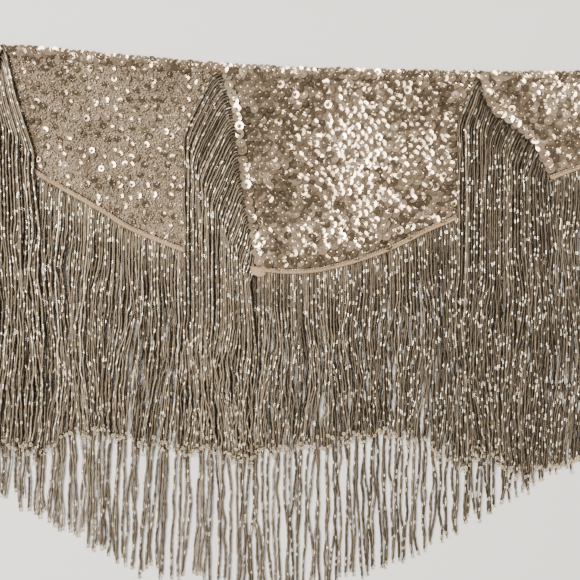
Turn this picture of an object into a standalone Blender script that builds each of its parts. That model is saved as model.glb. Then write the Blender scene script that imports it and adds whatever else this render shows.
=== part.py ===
"""A sequined hip belt with beaded fringe, closed and laid flat with its front uppermost.

The waist edge lies towards +Y, the fringe falls towards -Y, and Z is up. The origin is
under the middle of the belt. Every size below is in millimetres, and make_object turns
the points into metres.

The belt is a flattened ring. Its hidden back is one rounded solid with the side folds.
On it lie four sequined front panels, each over the next, a bound hem along each of them
with fringe sewn under it, and fringe from each free side edge. The longer back fringe
comes out from under them all.
"""

from collections import namedtuple

import bmesh
import bpy
import numpy as np

MM = 0.001

# Gap between neighbouring pieces
SEAM = 0.3

# Hidden back and its side folds
HALF_WIDTH = 237.0
BACK_THICK = 3.4
BACK_ROUND = 1.2
BACK_CORNER = 0.8 * BACK_ROUND
FOLD_WIDE = 3.5
FOLD_HIGH = 6.2
FOLD_ROUND = 1.4
FOLD_TURN = 1.1
FOLD_STEP = 0.3
LEVEL_START = 10.0
BACK_STATIONS = 24
STRIP_END = 1.5

# Cloth of the front
PANEL_THICK = 2.5
OVERLAP = 9.0
WAIST_WIDE = 3.2
WAIST_THICK = 2.8
WAIST_INSET = 0.2
BINDING_WIDE = 3.5
BINDING_THICK = 1.5
STRIP_INSET = 0.8
STRIP_WIDE = BINDING_WIDE - STRIP_INSET
STRIP_THICK = 1.3

# Heights of the undersides, from the surface up
PANEL_LOW = BACK_THICK + SEAM
BINDING_LOW = PANEL_LOW + STRIP_THICK + SEAM
SIDE_STRIP_LOW = BINDING_LOW + BINDING_THICK + SEAM
PANEL_LIFT = SIDE_STRIP_LOW + STRIP_THICK + 2 * SEAM - PANEL_LOW

# Strands
STRAND_HIGH = 1.2
BACK_STRAND_LOW = SEAM
HEM_STRAND_LOW = BACK_STRAND_LOW + STRAND_HIGH + SEAM
SIDE_STRAND_LOW = HEM_STRAND_LOW + STRAND_HIGH + 1.3 * SEAM
BACK_STRAND_WIDE = 2.0
HEM_STRAND_WIDE = 1.9
SIDE_STRAND_WIDE = 1.4
BACK_STRANDS = 80
BACK_END_GAP = 3.0
BACK_MIDDLE = 0.55
BACK_UNEVEN = 2.0
BACK_SWAY = 1.1
HEM_LEAD = 2.0
HEM_ASIDE = 4.0
HEM_FALL = 26.0
HEM_SWAY = 1.2
SIDE_LEAD = 1.0
SIDE_HANDLE = 0.4
SIDE_CURVE_STEPS = (0.3, 0.62, 1.0)
SIDE_CLEAR = 2.0
SIDE_FALL = 40.0
SIDE_SHORTER = 3.0
SIDE_SWAY = 0.3
SIDE_START_GAP = 4.0
SIDE_END_GAP = 3.0
CORNER_SPREAD = 4.0

# How fast the strands' unevenness changes from one to the next, in radians a strand
BACK_TIP_TURN = 2.1
BACK_SWAY_TURN = 1.9
HEM_SWAY_TURN = 2.3
SIDE_SWAY_TURN = 1.7

# Points along the lines that the pieces are built on
TABLE_POINTS = 80
SIDE_POINTS = 16
STRIP_POINTS = 40
BACK_STRIP_POINTS = 90
WAIST_POINTS = 26

# Edges seen from above, as rows of x, y from left to right
WAIST_EDGE = (
    (-237.0, 197.6),
    (-163.0, 194.0),
    (-117.0, 189.7),
    (-63.0, 184.7),
    (0.0, 180.4),
    (94.5, 177.6),
    (170.0, 176.5),
    (237.0, 176.1),
)
BACK_EDGE = (
    (-237.0, 139.0),
    (-168.0, 109.5),
    (-119.0, 81.0),
    (-61.0, 53.5),
    (-20.0, 41.0),
    (15.0, 37.0),
    (62.0, 44.5),
    (115.0, 67.0),
    (160.0, 88.0),
    (201.0, 105.0),
    (237.0, 116.0),
)
LEFT_OUTER_HEM = (
    (-233.2, 132.0),
    (-228.0, 129.2),
    (-222.0, 127.0),
)
LEFT_FRONT_HEM = (
    (-225.0, 133.0),
    (-192.0, 118.5),
    (-168.3, 103.8),
    (-147.5, 91.6),
    (-118.9, 75.2),
    (-99.2, 63.0),
    (-60.9, 47.3),
    (-30.8, 38.5),
    (1.0, 36.5),
)
RIGHT_FRONT_HEM = (
    (-8.0, 33.4),
    (15.8, 31.5),
    (42.2, 33.9),
    (82.0, 45.8),
    (115.1, 61.6),
    (132.2, 69.0),
    (166.1, 84.5),
    (208.0, 99.5),
)
RIGHT_OUTER_HEM = (
    (201.2, 98.0),
    (219.1, 104.8),
    (233.2, 109.8),
)

# Side edges that lie on the next panel, as rows of x, y from the waist down
LEFT_OUTER_SIDE_TOP_X = -190.0
LEFT_OUTER_SIDE = (
    (-194.0, 166.0),
    (-201.0, 150.0),
    (-212.0, 137.0),
)
RIGHT_FRONT_SIDE_TOP_X = -33.7
RIGHT_FRONT_SIDE = (
    (-27.9, 160.4),
    (-22.2, 136.8),
    (-16.5, 90.9),
    (-11.5, 61.6),
)
RIGHT_OUTER_SIDE_TOP_X = 150.4
RIGHT_OUTER_SIDE = (
    (158.0, 150.0),
    (176.1, 134.9),
    (190.3, 122.1),
)

# Where the strands end, as rows of x, y from left to right
BACK_TIPS = (
    (-237.0, -104.0),
    (-192.0, -127.0),
    (-145.0, -148.0),
    (-85.0, -180.0),
    (-30.0, -190.0),
    (10.0, -197.6),
    (55.0, -187.0),
    (102.0, -171.0),
    (137.0, -150.0),
    (173.0, -131.0),
    (237.0, -90.0),
)
FRONT_TIPS = (
    (-237.0, -86.0),
    (-178.0, -88.0),
    (-160.0, -98.0),
    (-142.0, -84.0),
    (-120.0, -80.0),
    (-63.0, -93.0),
    (-42.0, -86.0),
    (-20.0, -96.0),
    (23.0, -92.0),
    (67.0, -83.0),
    (109.0, -86.0),
    (134.0, -102.0),
    (150.0, -95.0),
    (188.0, -105.0),
    (237.0, -98.0),
)

# Grid of each panel, and how far from its overlapping side edge it comes down again
Panel = namedtuple("Panel", "columns rows reach")
PANELS = {
    "left_outer": Panel(5, 7, 34.0),
    "left_front": Panel(18, 4, None),
    "right_front": Panel(18, 7, 40.0),
    "right_outer": Panel(6, 7, 40.0),
}

# Strands of each hem, and the bare lengths of strip at its two ends
HemFringe = namedtuple("HemFringe", "strands start end")
HEM_FRINGES = {
    "left_outer": HemFringe(2, 2.5, 5.0),
    "left_front": HemFringe(46, 6.0, 18.0),
    "right_front": HemFringe(46, 5.0, 16.0),
    "right_outer": HemFringe(7, 4.0, 3.0),
}

# Strands of each side edge: the x of the first and the last where they hang, the least
# drop of their bend, its further drop for each step aside, how far they leave the edge
# for each step aside, and how much of that step the bend's lower handle stays back
SideFringe = namedtuple("SideFringe", "strands first_x last_x least_drop drop lead back")
SIDE_FRINGES = {
    "left_outer": SideFringe(14, -221.0, -166.0, 10.0, 2.4, 0.17, 0.5),
    "right_front": SideFringe(26, -59.0, -12.5, 7.0, 0.8, 0.5, 0.0),
    "right_outer": SideFringe(24, 136.0, 197.0, 7.0, 0.8, 0.5, 0.0),
}

COLOURS = {
    "lining": (0.20, 0.17, 0.13),
    "sequins": (0.52, 0.46, 0.38),
    "binding": (0.55, 0.42, 0.30),
    "beads": (0.33, 0.30, 0.23),
}


def clear_scene():
    for thing in list(bpy.data.objects):
        bpy.data.objects.remove(thing)


def material(kind):
    found = bpy.data.materials.get(kind)
    if found:
        return found
    made = bpy.data.materials.new(kind)
    made.use_nodes = True
    surface = made.node_tree.nodes["Principled BSDF"]
    surface.inputs["Base Color"].default_value = (*COLOURS[kind], 1.0)
    surface.inputs["Roughness"].default_value = 0.35 if kind in ("sequins", "beads") else 0.8
    surface.inputs["Metallic"].default_value = 0.7 if kind in ("sequins", "beads") else 0.0
    return made


def make_object(name, kind, points, faces):
    """One named object from points in millimetres, with its faces turned outwards."""
    shape = bmesh.new()
    corners = [shape.verts.new(np.array(point) * MM) for point in points]
    for face in faces:
        shape.faces.new([corners[index] for index in face])
    bmesh.ops.recalc_face_normals(shape, faces=shape.faces)
    mesh = bpy.data.meshes.new(name)
    shape.to_mesh(mesh)
    shape.free()
    mesh.materials.append(material(kind))
    made = bpy.data.objects.new(name, mesh)
    bpy.context.scene.collection.objects.link(made)
    return made


def distances(line):
    """How far along the line each of its points is."""
    steps = np.linalg.norm(np.diff(line, axis=0), axis=1)
    return np.concatenate([[0.0], np.cumsum(steps)])


def at(line, where):
    """The points at these distances along the line."""
    along = distances(line)
    return np.stack([np.interp(where, along, line[:, k]) for k in (0, 1)], axis=-1)


def smooth_line(points, count):
    """Evenly spaced points on a Catmull-Rom curve through the given ones."""
    p = np.array(points, float)
    p = np.vstack([2 * p[0] - p[1], p, 2 * p[-1] - p[-2]])
    t = np.linspace(0.0, 1.0, 16, endpoint=False)[:, None]
    runs = []
    for a, b, c, d in zip(p, p[1:], p[2:], p[3:]):
        turn = (2 * a - 5 * b + 4 * c - d) * t**2 + (3 * b - a - 3 * c + d) * t**3
        runs.append(0.5 * (2 * b + (c - a) * t + turn))
    fine = np.vstack([*runs, p[-2:-1]])
    return at(fine, np.linspace(0.0, distances(fine)[-1], count))


def outward(line):
    """Unit normals on the right-hand side of a line, which is a panel's outside."""
    along = np.gradient(line, axis=0)
    along /= np.linalg.norm(along, axis=1)[:, None]
    return np.stack([along[:, 1], -along[:, 0]], axis=1)


def offset(line, distance):
    return line + outward(line) * distance


def height_at(table, x):
    rows = smooth_line(table, TABLE_POINTS)
    return np.interp(x, rows[:, 0], rows[:, 1])


def no_lift(points):
    return np.zeros(np.shape(points)[:-1])


def lift_near(side, reach):
    """How much higher a panel lies near the side edge that overlaps the next panel."""

    def lift(points):
        flat = np.reshape(points, (-1, 1, 2))
        away = np.linalg.norm(flat - side[None], axis=2).min(axis=1)
        share = np.clip(away / reach, 0.0, 1.0)
        eased = 1.0 - share**2 * (3.0 - 2.0 * share)
        return (PANEL_LIFT * eased).reshape(np.shape(points)[:-1])

    return lift


def patch(top, bottom, left, right):
    """A grid of points between four edges that share their corners."""
    u = np.linspace(0.0, 1.0, len(top))[:, None, None]
    v = np.linspace(0.0, 1.0, len(left))[None, :, None]
    across = (1 - v) * top[:, None] + v * bottom[:, None]
    down = (1 - u) * left[None] + u * right[None]
    upper = (1 - u) * top[0] + u * top[-1]
    lower = (1 - u) * bottom[0] + u * bottom[-1]
    return across + down - (1 - v) * upper - v * lower


def slab(name, kind, grid, low, thick):
    """A cloth wall over a grid of points, with its underside at the heights in low."""
    wide, deep = grid.shape[:2]
    count = wide * deep
    under = np.concatenate([grid, low[..., None]], axis=2).reshape(count, 3)
    points = np.vstack([under, under + (0.0, 0.0, thick)])
    faces = []
    for i in range(wide - 1):
        for j in range(deep - 1):
            a, b = i * deep + j, (i + 1) * deep + j
            faces.append((a, a + 1, b + 1, b))
            faces.append((a + count, b + count, b + 1 + count, a + 1 + count))
    first = [j for j in range(deep)]
    last = [(wide - 1) * deep + j for j in range(deep)]
    upper = [i * deep for i in range(wide)]
    lower = [i * deep + deep - 1 for i in range(wide)]
    for edge in (first, last, upper, lower):
        for a, b in zip(edge, edge[1:]):
            faces.append((a, b, b + count, a + count))
    return make_object(name, kind, points, faces)


def ribbon(name, kind, line, wide, low, thick):
    """A narrow band whose outer side follows the line."""
    inner = offset(line, -wide)
    grid = np.stack([inner, line], axis=1)
    return slab(name, kind, grid, low(grid), thick)


def normals_at(line, where):
    """The outward unit normals at these distances along the line."""
    along, normals = distances(line), outward(line)
    found = np.stack([np.interp(where, along, normals[:, k]) for k in (0, 1)], axis=-1)
    return found / np.linalg.norm(found, axis=1)[:, None]


def strand_ring(point, side, low, width):
    """Three corners of a strand, flat below, with its ridge on top."""
    half = side * width / 2
    left, right = point - half, point + half
    return [(*left, low), (*right, low), (*point, low + STRAND_HIGH)]


def sides_along(path):
    """The direction across a strand at each point of its path."""
    ahead = np.gradient(np.array(path, float), axis=0)
    ahead /= np.linalg.norm(ahead, axis=1)[:, None]
    return np.stack([-ahead[:, 1], ahead[:, 0]], axis=1)


def fringe(name, line, roots, width, strip_low, route):
    """Strands that grow out of one backing strip under the line.

    roots are distances along the line. route(point, outward, number) gives each
    strand's path after its root, as rows of x, y and the height of its underside.
    """
    cuts = [0.0]
    for root in roots:
        cuts += [root - width / 2, root + width / 2]
    cuts.append(distances(line)[-1])
    outer = at(line, cuts)
    inner = outer - normals_at(line, cuts) * STRIP_WIDE
    low = strip_low(outer)
    points = []
    for a, b, height in zip(inner, outer, low):
        points += [(*a, height), (*a, height + STRIP_THICK)]
        points += [(*b, height + STRIP_THICK), (*b, height)]
    faces = [(0, 1, 2, 3), tuple(len(points) - 4 + k for k in range(4))]
    for k in range(len(cuts) - 1):
        here, there = 4 * k, 4 * k + 4
        for side in range(4):
            after = (side + 1) % 4
            if side == 2 and k % 2 == 1:
                continue
            faces.append((here + side, here + after, there + after, there + side))
    for number, root in enumerate(roots):
        here = 4 * (2 * number + 1)
        normal = normals_at(line, [root])[0]
        start = at(line, [root])[0]
        path = route(start, normal, number)
        turned = sides_along([start, *[row[:2] for row in path]])[1:]
        ring = [here + 3, here + 7, here + 6, here + 2]
        for step, (row, side) in enumerate(zip(path, turned)):
            base = len(points)
            points += strand_ring(np.array(row[:2]), side, row[2], width)
            left, right, ridge = base, base + 1, base + 2
            faces.append((ring[0], ring[1], right, left))
            faces.append((ring[1], ring[2], ridge, right))
            if step == 0:
                faces.append((ring[2], ring[3], ridge))
            faces.append((ring[-1], ring[0], left, ridge))
            ring = [left, right, ridge]
        faces.append(tuple(ring))
    return make_object(name, "beads", points, faces)


def hang_from_hem(lift):
    """Strands that leave the hem square to it and fall straight down."""

    def route(start, normal, number):
        x = start[0] + HEM_ASIDE * normal[0]
        sway = HEM_SWAY * np.sin(HEM_SWAY_TURN * number)
        bend = start + HEM_LEAD * normal
        return [
            (*bend, PANEL_LOW + float(lift(bend[None])[0])),
            (x, start[1] - HEM_FALL, HEM_STRAND_LOW),
            (x + sway, height_at(FRONT_TIPS, x), HEM_STRAND_LOW),
        ]

    return route


def hang_from_side(side, hem):
    """Strands that leave a side edge sideways, turn down over the next panel and hang."""

    def route(start, normal, number):
        share = number / (side.strands - 1)
        x = side.first_x + (side.last_x - side.first_x) * share
        aside = abs(x - start[0])
        drop = side.least_drop + side.drop * aside
        held = x - side.back * (x - start[0])
        handles = (
            start,
            start + normal * (SIDE_LEAD + side.lead * aside),
            np.array((held, start[1] - SIDE_HANDLE * drop)),
            np.array((x, start[1] - drop)),
        )
        rows = []
        for t in SIDE_CURVE_STEPS:
            weights = ((1 - t) ** 3, 3 * t * (1 - t) ** 2, 3 * t * t * (1 - t), t**3)
            point = sum(w * handle for w, handle in zip(weights, handles))
            rows.append((*point, SIDE_STRIP_LOW))
        over = min(start[1] - drop, height_at(hem, x)) - SIDE_CLEAR
        lower_x = x + CORNER_SPREAD * share**4
        tip_x = lower_x + SIDE_SWAY * np.sin(SIDE_SWAY_TURN * number)
        tip_y = height_at(FRONT_TIPS, x) - SIDE_SHORTER
        rows.append((x, over, SIDE_STRIP_LOW))
        rows.append((lower_x, over - SIDE_FALL, SIDE_STRAND_LOW))
        rows.append((tip_x, tip_y, SIDE_STRAND_LOW))
        return rows

    return route


def spread(line, count, start, end):
    """Distances of count roots along a line, from start to end before its far end."""
    return np.linspace(start, distances(line)[-1] - end, count)


def make_back():
    """The hidden back layers and both side folds as one rounded solid."""
    inner = HALF_WIDTH - FOLD_WIDE
    fold = (
        (-HALF_WIDTH, FOLD_ROUND, FOLD_HIGH - FOLD_ROUND),
        (FOLD_TURN - HALF_WIDTH, 0.0, FOLD_HIGH),
        (-inner - FOLD_STEP / 3, 0.0, FOLD_HIGH),
        (-inner + FOLD_STEP * 2 / 3, 0.0, BACK_THICK),
    )
    level = np.linspace(LEVEL_START - inner, inner - LEVEL_START, BACK_STATIONS)
    stations = [*fold, *[(x, 0.0, BACK_THICK) for x in level]]
    stations += [(-x, low, high) for x, low, high in reversed(fold)]
    points = []
    for x, low, high in stations:
        top, bottom = height_at(WAIST_EDGE, x), height_at(BACK_EDGE, x)
        points += [(x, bottom + BACK_ROUND, low), (x, bottom, low + BACK_CORNER)]
        points += [(x, bottom, high - BACK_CORNER), (x, bottom + BACK_ROUND, high)]
        points += [(x, top - BACK_ROUND, high), (x, top, high - BACK_CORNER)]
        points += [(x, top, low + BACK_CORNER), (x, top - BACK_ROUND, low)]
    sides = len(points) // len(stations)
    faces = [tuple(range(sides)), tuple(len(points) - sides + k for k in range(sides))]
    for k in range(len(stations) - 1):
        for side in range(sides):
            after = (side + 1) % sides
            here, there = sides * k, sides * k + sides
            faces.append((here + side, here + after, there + after, there + side))
    make_object("back_layer", "lining", points, faces)


def make_back_fringe():
    """The longest strands, from a strip along the lower edge of the back."""
    edge = offset(smooth_line(BACK_EDGE, BACK_STRIP_POINTS), SEAM + STRIP_WIDE)
    inside = edge[np.abs(edge[:, 0]) < HALF_WIDTH - STRIP_END]
    deepest = min(y for x, y in BACK_TIPS)

    def strip_low(points):
        return np.full(len(points), BACK_STRAND_LOW)

    def route(start, normal, number):
        x = start[0]
        uneven = BACK_UNEVEN * np.sin(BACK_TIP_TURN * number)
        y = max(height_at(BACK_TIPS, x) + uneven, deepest)
        middle = (1 - BACK_MIDDLE) * start[1] + BACK_MIDDLE * y
        sway = BACK_SWAY * np.sin(BACK_SWAY_TURN * number)
        return [(x, middle, BACK_STRAND_LOW), (x + sway, y, BACK_STRAND_LOW)]

    roots = spread(inside, BACK_STRANDS, BACK_END_GAP, BACK_END_GAP)
    fringe("back_fringe", inside, roots, BACK_STRAND_WIDE, strip_low, route)


def waist_under(x):
    """The line that the panels' upper edges follow, under the waist binding."""
    return height_at(WAIST_EDGE, x) - WAIST_WIDE - SEAM


def make_waist():
    ends = HALF_WIDTH - FOLD_WIDE - SEAM
    x = np.linspace(-ends, ends, WAIST_POINTS)
    top = np.stack([x, height_at(WAIST_EDGE, x) - WAIST_INSET], axis=1)
    low = top - (0.0, WAIST_WIDE - WAIST_INSET)
    grid = np.stack([top, low], axis=1)
    slab("waist_binding", "binding", grid, np.full(grid.shape[:2], PANEL_LOW), WAIST_THICK)


def side_line(top_x, middle, end):
    """A side edge from the waist binding down to the corner of a hem."""
    return smooth_line([(top_x, waist_under(top_x)), *middle, end], SIDE_POINTS)


def moved(table, aside):
    return [(x + aside, y) for x, y in table]


def hem_inside(name, hem):
    """The lower edge of a panel, on the inner side of its binding."""
    return offset(smooth_line(hem, PANELS[name].columns), -BINDING_WIDE - SEAM)


def make_panel(name, hem, left, right, lift):
    """A panel and the binding of its hem."""
    size = PANELS[name]
    bottom = hem_inside(name, hem)
    top_x = np.linspace(left[0][0], right[0][0], size.columns)
    top = np.stack([top_x, waist_under(top_x)], axis=1)
    left_rows = at(left, np.linspace(0.0, distances(left)[-1], size.rows))
    right_rows = at(right, np.linspace(0.0, distances(right)[-1], size.rows))
    grid = patch(top, bottom, left_rows, right_rows)
    slab(f"{name}_panel", "sequins", grid, PANEL_LOW + lift(grid), PANEL_THICK)

    def binding_low(points):
        return BINDING_LOW + lift(points)

    edge = smooth_line(hem, size.columns)
    ribbon(f"{name}_binding", "binding", edge, BINDING_WIDE, binding_low, BINDING_THICK)


def make_hem_fringe(name, hem, lift):
    edge = offset(smooth_line(hem, STRIP_POINTS), -STRIP_INSET)
    size = HEM_FRINGES[name]

    def strip_low(points):
        return PANEL_LOW + lift(points)

    roots = spread(edge, size.strands, size.start, size.end)
    fringe(f"{name}_fringe", edge, roots, HEM_STRAND_WIDE, strip_low, hang_from_hem(lift))


def make_side_fringe(name, side, hem):
    """Fringe on a side edge, which lies over the hem of the next panel."""
    line = offset(side, -STRIP_INSET)
    size = SIDE_FRINGES[name]

    def strip_low(points):
        return np.full(len(points), SIDE_STRIP_LOW)

    roots = spread(line, size.strands, SIDE_START_GAP, SIDE_END_GAP)
    route = hang_from_side(size, hem)
    fringe(f"{name}_side_fringe", line, roots, SIDE_STRAND_WIDE, strip_low, route)


def main():
    clear_scene()
    make_back()
    make_back_fringe()
    make_waist()

    left_outer_bottom = hem_inside("left_outer", LEFT_OUTER_HEM)
    left_front_bottom = hem_inside("left_front", LEFT_FRONT_HEM)
    right_front_bottom = hem_inside("right_front", RIGHT_FRONT_HEM)
    right_outer_bottom = hem_inside("right_outer", RIGHT_OUTER_HEM)

    # The free side edges, which lie over the next panel
    left_outer_side = side_line(LEFT_OUTER_SIDE_TOP_X, LEFT_OUTER_SIDE, left_outer_bottom[-1])
    right_front_side = side_line(RIGHT_FRONT_SIDE_TOP_X, RIGHT_FRONT_SIDE, right_front_bottom[0])
    right_outer_side = side_line(RIGHT_OUTER_SIDE_TOP_X, RIGHT_OUTER_SIDE, right_outer_bottom[0])

    # The hidden edges under them, and the two ends at the side folds
    under_left_outer = side_line(
        LEFT_OUTER_SIDE_TOP_X - OVERLAP, moved(LEFT_OUTER_SIDE, -OVERLAP), left_front_bottom[0]
    )
    under_right_front = side_line(
        RIGHT_FRONT_SIDE_TOP_X + OVERLAP, moved(RIGHT_FRONT_SIDE, OVERLAP), left_front_bottom[-1]
    )
    under_right_outer = side_line(
        RIGHT_OUTER_SIDE_TOP_X + OVERLAP, moved(RIGHT_OUTER_SIDE, OVERLAP), right_front_bottom[-1]
    )
    end_x = HALF_WIDTH - FOLD_WIDE - SEAM
    left_end = side_line(-end_x, (), left_outer_bottom[0])
    right_end = side_line(end_x, (), right_outer_bottom[-1])

    left_outer_lift = lift_near(left_outer_side, PANELS["left_outer"].reach)
    right_front_lift = lift_near(right_front_side, PANELS["right_front"].reach)
    right_outer_lift = lift_near(right_outer_side, PANELS["right_outer"].reach)

    make_panel("left_outer", LEFT_OUTER_HEM, left_end, left_outer_side, left_outer_lift)
    make_panel("left_front", LEFT_FRONT_HEM, under_left_outer, under_right_front, no_lift)
    make_panel("right_front", RIGHT_FRONT_HEM, right_front_side, under_right_outer, right_front_lift)
    make_panel("right_outer", RIGHT_OUTER_HEM, right_outer_side, right_end, right_outer_lift)

    make_hem_fringe("left_outer", LEFT_OUTER_HEM, left_outer_lift)
    make_hem_fringe("left_front", LEFT_FRONT_HEM, no_lift)
    make_hem_fringe("right_front", RIGHT_FRONT_HEM, right_front_lift)
    make_hem_fringe("right_outer", RIGHT_OUTER_HEM, right_outer_lift)

    make_side_fringe("left_outer", left_outer_side[::-1], LEFT_FRONT_HEM)
    make_side_fringe("right_front", right_front_side, LEFT_FRONT_HEM)
    make_side_fringe("right_outer", right_outer_side, RIGHT_FRONT_HEM)


main()
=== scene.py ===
"""Looks of a sequined hip belt with beaded fringe, closed and laid flat.

Sizes are in millimetres in the frame's own axes and become metres in mesh_piece. The
named tables repeat the edges of the cloth, so every sequin, bead and stitch sits on the
solid that carries it.
"""

from collections import namedtuple

import bpy
import numpy as np
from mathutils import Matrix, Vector


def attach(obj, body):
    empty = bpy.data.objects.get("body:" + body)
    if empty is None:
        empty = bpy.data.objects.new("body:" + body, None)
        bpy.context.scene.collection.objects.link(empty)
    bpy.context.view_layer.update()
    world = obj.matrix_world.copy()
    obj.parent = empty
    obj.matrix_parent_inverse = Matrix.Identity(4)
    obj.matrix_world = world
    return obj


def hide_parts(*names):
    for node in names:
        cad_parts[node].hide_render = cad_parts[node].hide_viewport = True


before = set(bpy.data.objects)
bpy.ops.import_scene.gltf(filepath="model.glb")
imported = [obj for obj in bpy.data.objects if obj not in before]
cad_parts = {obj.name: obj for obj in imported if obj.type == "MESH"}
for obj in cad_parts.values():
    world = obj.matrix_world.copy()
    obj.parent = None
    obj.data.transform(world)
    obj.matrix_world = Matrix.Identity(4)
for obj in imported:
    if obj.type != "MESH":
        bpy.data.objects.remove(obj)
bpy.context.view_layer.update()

MM = 0.001
random = np.random.default_rng(7)

# Sizes of the cloth, as in the solids
SEAM = 0.3
HALF_WIDTH = 237.0
BACK_THICK = 3.4
FOLD_WIDE = 3.5
FOLD_HIGH = 6.2
OVERLAP = 9.0
WAIST_WIDE = 3.2
WAIST_THICK = 2.8
BINDING_WIDE = 3.5
BINDING_THICK = 1.5
STRIP_INSET = 0.8
STRIP_WIDE = BINDING_WIDE - STRIP_INSET
STRIP_THICK = 1.3
PANEL_LOW = BACK_THICK + SEAM
BINDING_LOW = PANEL_LOW + STRIP_THICK + SEAM
SIDE_STRIP_LOW = BINDING_LOW + BINDING_THICK + SEAM
PANEL_LIFT = SIDE_STRIP_LOW + STRIP_THICK + 2 * SEAM - PANEL_LOW

# The cloth alone, and the sequins on it
CLOTH_THICK = 1.4
CLOTH_LIFT = 0.3
RIM_DRAWN_IN = 0.45
SEQUIN_RADIUS = 3.2
SEQUIN_SIDES = 12
SEQUIN_RINGS = (
    (0.5, -0.36),
    (0.34 * SEQUIN_RADIUS, 0.0),
    (0.56 * SEQUIN_RADIUS, 0.0),
    (SEQUIN_RADIUS, 0.21),
)
SEED_SIDES = 5
SEED_RINGS = ((0.4, -0.75), (1.05, 0.0), (0.4, 0.8))

# Work on each panel: the spacing, unevenness, size, tilt and height of its sequins, and
# the spacing of its seed beads
Dress = namedtuple("Dress", "across down jitter scale tilt height seed_across")
DRESSES = {
    "left_outer": Dress(7.6, 6.4, 1.8, 0.76, 0.06, 1.35, 2.05),
    "left_front": Dress(8.0, 6.8, 2.4, 0.76, 0.06, 1.35, 2.0),
    "right_front": Dress(5.4, 3.9, 1.0, 0.96, 0.045, 0.75, 8.0),
    "right_outer": Dress(5.4, 3.9, 1.0, 0.96, 0.045, 0.75, 9.0),
}
EDGE_SEQUIN_PITCH = 6.0
WAIST_SEQUIN_PITCH = 4.6
WAIST_SEQUIN_ROWS = (2.7, 5.6)
FOLD_SEQUIN_PITCH = 3.9
SEED_RADIUS = 0.7
WAIST_BEAD_ROWS = ((0.9, 1.9), (-0.8, 1.7))
HEM_BEAD_PITCH = 1.9
STITCH_PITCH = 2.1
STITCH_FORM = (0.16, 0.16, 1.15)

# Strings of beads
BEAD_RADIUS = 0.95
BEAD_LONG = 4.3
BEAD_SIDES = 4
GLINT_SHARE = 0.14
BACK_LEVEL = 1.4
HEM_LEVEL = 2.9
SIDE_LEVEL = 5.4
LAYER_RISE = 1.4
HEM_FALL = 26.0
SIDE_FALL = 40.0
HEM_PITCHES = {
    "left_outer": 1.2,
    "left_front": 1.22,
    "right_front": 1.22,
    "right_outer": 0.95,
}
BACK_PITCH = 3.1
SIDE_STRINGS = {"left_outer": 52, "right_front": 62, "right_outer": 68}
SIDE_BENDS = {"left_outer": (10.0, 2.4), "right_front": (6.0, 1.35), "right_outer": (6.0, 1.5)}
CORNER_SPREAD = 4.0
STRING_ROWS = 22
SETTLING = 30.0
KINK_MEMORY = 0.8
STRAY_SHARE = 0.06

# The tints of the strings, with a painted shade that darkens them a little to the right, where
# less light falls
STRING_TINT = 0.45
STRING_TINT_SPREAD = 0.15
PAINTED_SHADE_RATE = 0.0026
PAINTED_SHADE_END = 95.0

# Where the cloth is turned so that its sequins catch the light, and where sequins and seed beads
# are painted lighter as a painted highlight, as x, y, half width and half height
BRIGHT_SPOTS = (
    (62.0, 112.0, 33.0, 40.0),
    (30.0, 60.0, 30.0, 12.0),
    (-4.0, 52.0, 8.0, 14.0),
    (-118.0, 150.0, 16.0, 12.0),
    (-155.0, 115.0, 10.0, 12.0),
    (-92.0, 84.0, 22.0, 12.0),
    (-72.0, 128.0, 12.0, 10.0),
    (212.0, 160.0, 24.0, 18.0),
    (-205.0, 155.0, 12.0, 12.0),
    (-110.0, 108.0, 9.0, 9.0),
    (-150.0, 100.0, 16.0, 9.0),
    (-185.0, 122.0, 14.0, 9.0),
    (-75.0, 60.0, 12.0, 9.0),
)

# Edges seen from above, as rows of x, y from left to right
EDGE_POINTS = 60
END_X = HALF_WIDTH - FOLD_WIDE - SEAM
WAIST_EDGE = (
    (-237.0, 197.6),
    (-163.0, 194.0),
    (-117.0, 189.7),
    (-63.0, 184.7),
    (0.0, 180.4),
    (94.5, 177.6),
    (170.0, 176.5),
    (237.0, 176.1),
)
BACK_EDGE = (
    (-237.0, 139.0),
    (-168.0, 109.5),
    (-119.0, 81.0),
    (-61.0, 53.5),
    (-20.0, 41.0),
    (15.0, 37.0),
    (62.0, 44.5),
    (115.0, 67.0),
    (160.0, 88.0),
    (201.0, 105.0),
    (237.0, 116.0),
)
HEMS = {
    "left_outer": ((-233.2, 132.0), (-228.0, 129.2), (-222.0, 127.0)),
    "left_front": (
        (-225.0, 133.0),
        (-192.0, 118.5),
        (-168.3, 103.8),
        (-147.5, 91.6),
        (-118.9, 75.2),
        (-99.2, 63.0),
        (-60.9, 47.3),
        (-30.8, 38.5),
        (1.0, 36.5),
    ),
    "right_front": (
        (-8.0, 33.4),
        (15.8, 31.5),
        (42.2, 33.9),
        (82.0, 45.8),
        (115.1, 61.6),
        (132.2, 69.0),
        (166.1, 84.5),
        (208.0, 99.5),
    ),
    "right_outer": ((201.2, 98.0), (219.1, 104.8), (233.2, 109.8)),
}

# Side edges that lie on the next panel, as rows of x, y from the waist down
SIDE_TOPS = {"left_outer": -190.0, "right_front": -33.7, "right_outer": 150.4}
SIDES = {
    "left_outer": ((-194.0, 166.0), (-201.0, 150.0), (-212.0, 137.0)),
    "right_front": ((-27.9, 160.4), (-22.2, 136.8), (-16.5, 90.9), (-11.5, 61.6)),
    "right_outer": ((158.0, 150.0), (176.1, 134.9), (190.3, 122.1)),
}

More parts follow.
